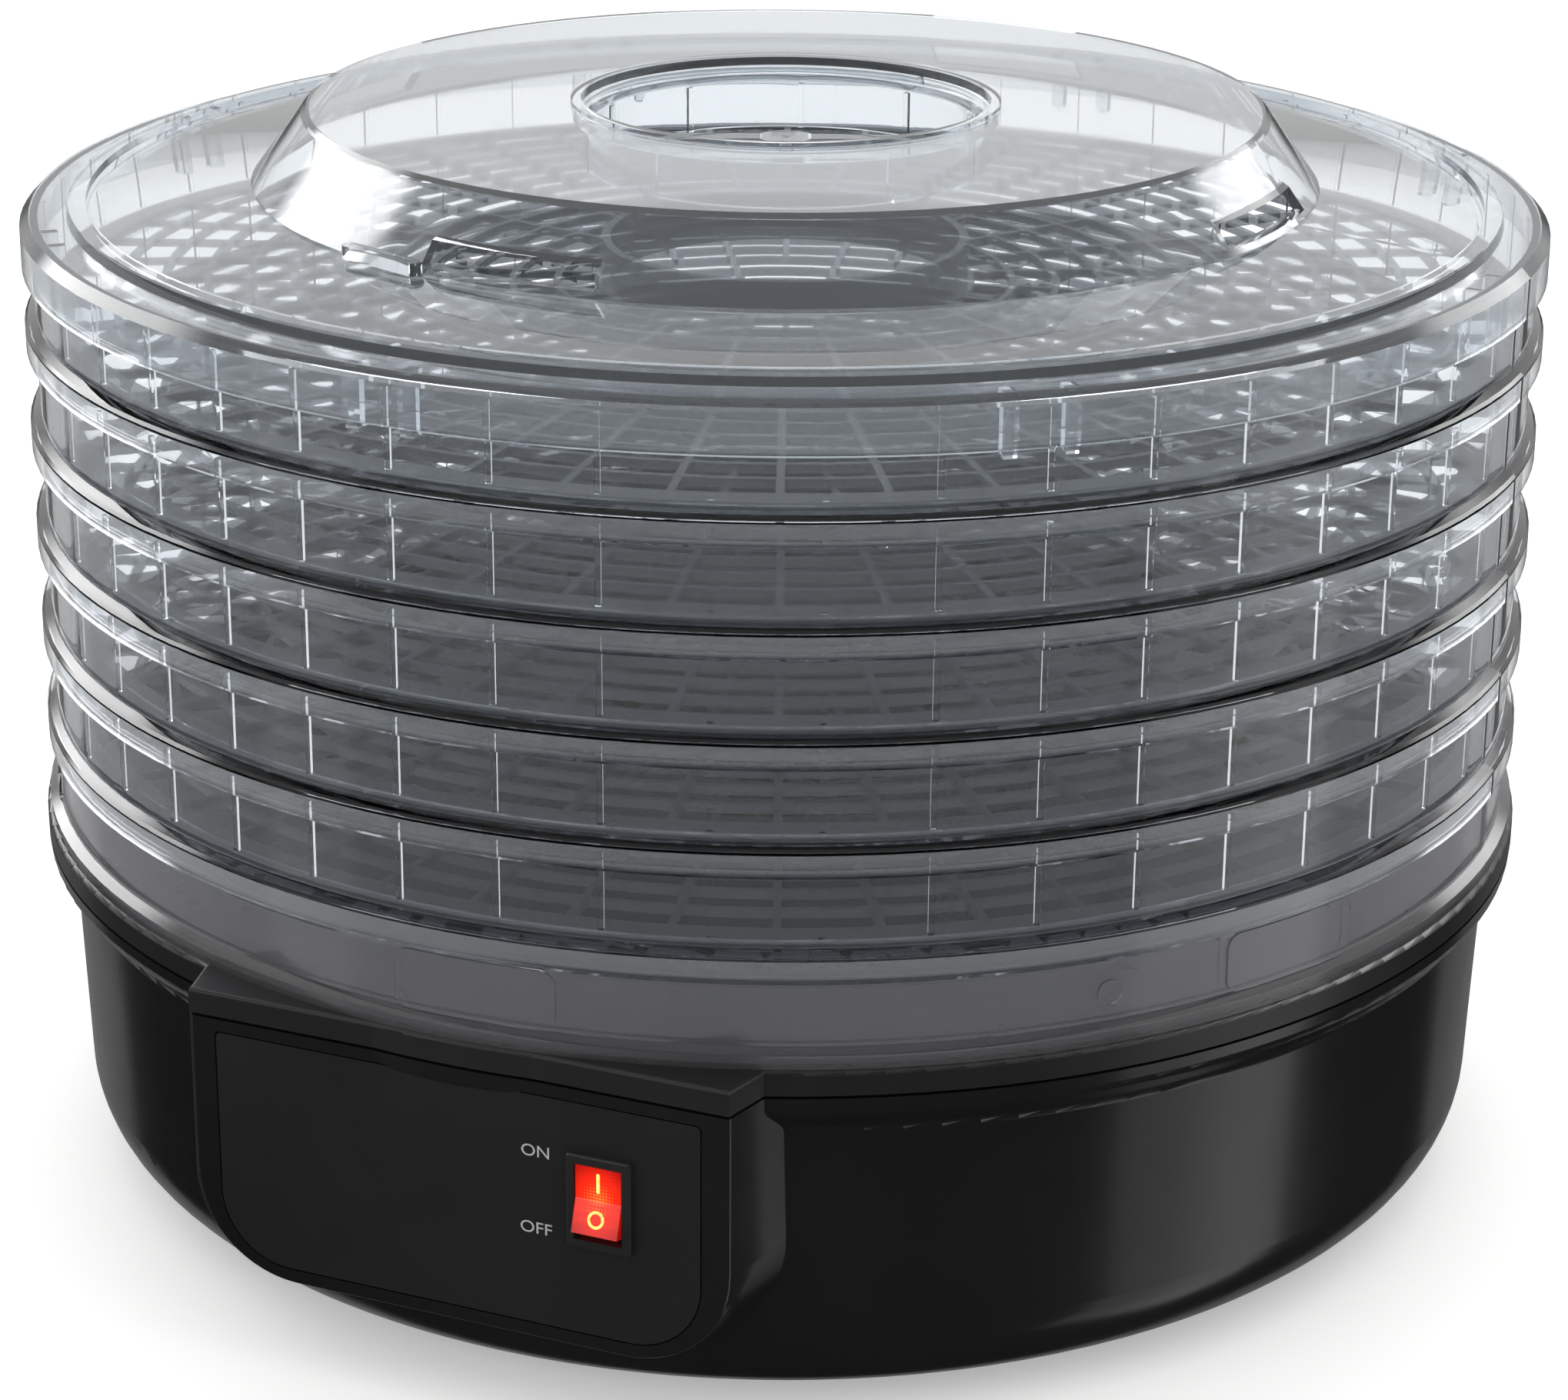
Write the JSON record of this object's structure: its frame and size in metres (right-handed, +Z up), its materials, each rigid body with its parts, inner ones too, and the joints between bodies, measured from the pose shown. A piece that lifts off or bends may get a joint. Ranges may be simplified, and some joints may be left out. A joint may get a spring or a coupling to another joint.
{
  "type": "food dehydrator",
  "caption": "Round food dehydrator with a black fan and heater base, stacked clear trays with open grid floors, and a clear vented lid.",
  "frame": {"origin": "on the axis of the drum, at the table that the feet stand on", "axes": "+Z up, control panel and rocker switch facing -Y, +X to the right seen from the front"},
  "size_m": [0.3288, 0.3337, 0.234],
  "materials": {
    "black_gloss": "glossy injection-moulded black",
    "black_deck": "fine satin black",
    "clear_plastic": "clear, polished",
    "smoke_plastic": "smoke-tinted, translucent",
    "panel_film": "satin dark inlay",
    "rocker_red": "red translucent, lit from inside",
    "switch_black": "satin black",
    "rubber_feet": "matt",
    "zinc_steel": "zinc plated",
    "sheet_steel": "bright rolled sheet",
    "motor_shell": "dark lacquer",
    "fan_plastic": "heat-resistant natural nylon",
    "mica": "layered mica board",
    "resistance_wire": "heat-tinted",
    "bakelite": "phenolic",
    "terminal_white": "nylon",
    "wire_sleeve": "silicone sleeve",
    "terminal_brass": "bright",
    "lamp_glass": "small neon bulb"
  },
  "bodies": {
    "base": {"base_drum": "black_gloss", "bottom_plate": "black_deck", "foot_pads": "rubber_feet", "plate_screws": "zinc_steel", "cover_screws": "zinc_steel", "top_cover": "black_deck", "outlet_grille": "black_deck", "heat_shroud": "sheet_steel", "shroud_screws": "zinc_steel", "motor_bracket": "sheet_steel", "bracket_rivets": "zinc_steel", "motor_body": "motor_shell", "motor_screws": "zinc_steel", "heater_frame": "mica", "heater_coil": "resistance_wire", "thermostat": "bakelite", "thermal_fuse": "terminal_white", "terminal_block": "terminal_white", "wiring": "wire_sleeve", "cord_gland": "switch_black", "control_panel": "panel_film", "switch_body": "switch_black", "switch_terminals": "terminal_brass", "neon_lamp": "lamp_glass"},
    "rotor": {"motor_shaft": "zinc_steel", "fan_impeller": "fan_plastic"},
    "rocker": {"switch_rocker": "rocker_red"},
    "riser": {"riser_ring": "smoke_plastic"},
    "tray_1": {"tray_1_wall": "clear_plastic", "tray_1_floor": "clear_plastic"},
    "tray_2": {"tray_2_wall": "clear_plastic", "tray_2_floor": "clear_plastic"},
    "tray_3": {"tray_3_wall": "clear_plastic", "tray_3_floor": "clear_plastic"},
    "tray_4": {"tray_4_wall": "clear_plastic", "tray_4_floor": "clear_plastic"},
    "tray_5": {"tray_5_wall": "clear_plastic", "tray_5_floor": "clear_plastic"},
    "lid": {"lid": "clear_plastic", "vent_bridge": "clear_plastic"}
  },
  "joints": [
    {"name": "fan_spin", "type": "hinge", "parent": "base", "child": "rotor", "pos_m": [0, 0, 0.04], "axis": [0, 0, 1], "continuous": true},
    {"name": "power_rocker", "type": "hinge", "parent": "base", "child": "rocker", "pos_m": [0.0316, -0.1595, 0.0533], "axis": [1, 0, 0], "range_deg": [0, 18.6]},
    {"name": "riser_lift", "type": "slide", "parent": "base", "child": "riser", "axis": [0, 0, 1], "range_m": [0, 0.06]},
    {"name": "tray_1_lift", "type": "slide", "parent": "riser", "child": "tray_1", "axis": [0, 0, 1], "range_m": [0, 0.06]},
    {"name": "tray_2_lift", "type": "slide", "parent": "tray_1", "child": "tray_2", "axis": [0, 0, 1], "range_m": [0, 0.06]},
    {"name": "tray_3_lift", "type": "slide", "parent": "tray_2", "child": "tray_3", "axis": [0, 0, 1], "range_m": [0, 0.06]},
    {"name": "tray_4_lift", "type": "slide", "parent": "tray_3", "child": "tray_4", "axis": [0, 0, 1], "range_m": [0, 0.06]},
    {"name": "tray_5_lift", "type": "slide", "parent": "tray_4", "child": "tray_5", "axis": [0, 0, 1], "range_m": [0, 0.06]},
    {"name": "lid_lift", "type": "slide", "parent": "tray_5", "child": "lid", "axis": [0, 0, 1], "range_m": [0, 0.06]}
  ]
}
